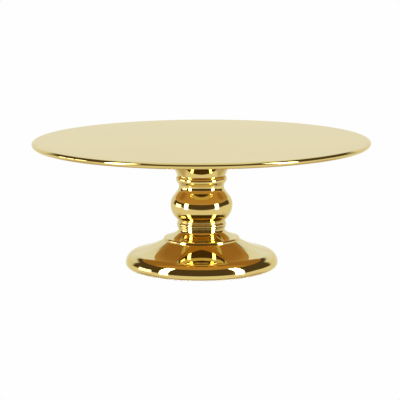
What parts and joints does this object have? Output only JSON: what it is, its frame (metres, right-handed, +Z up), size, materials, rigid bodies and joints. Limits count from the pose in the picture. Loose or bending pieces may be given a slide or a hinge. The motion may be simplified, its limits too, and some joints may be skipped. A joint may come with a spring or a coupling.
{
  "type": "cake stand",
  "caption": "Round pedestal cake stand: a flat plate with a full round edge on a turned baluster stem and a domed foot.",
  "frame": {"origin": "on the table under the centre of the foot", "axes": "+Z up along the stand's axis; X and Y lie on the table"},
  "size_m": [0.305, 0.305, 0.117],
  "materials": {
    "gold_plating": "mirror-polished gold plating on cast aluminium",
    "zinc_steel": "bright zinc plate",
    "white_silicone": "matt translucent white"
  },
  "bodies": {
    "pedestal": {"capital": "gold_plating", "upper_ring": "gold_plating", "baluster": "gold_plating", "lower_ring": "gold_plating", "step_collar": "gold_plating", "foot": "gold_plating", "foot_ring": "white_silicone", "tie_rod": "zinc_steel", "hex_nuts": "zinc_steel", "top_washer": "zinc_steel", "clamp_disc": "zinc_steel", "lock_washer": "zinc_steel"},
    "gasket": {"plate_gasket": "white_silicone"},
    "plate": {"cake_plate": "gold_plating", "plate_boss": "gold_plating"}
  },
  "joints": [
    {"name": "plate_lift", "type": "slide", "parent": "pedestal", "child": "gasket", "axis": [0, 0, 1], "range_m": [0, 0.00875]},
    {"name": "plate_turn", "type": "hinge", "parent": "gasket", "child": "plate", "pos_m": [0, 0, 0.1118], "axis": [0, 0, 1], "range_deg": [0, 2520]}
  ],
  "couplings": [
    {"joint": "plate_lift", "follows": "plate_turn", "m_per_rad": 0.00019894}
  ]
}
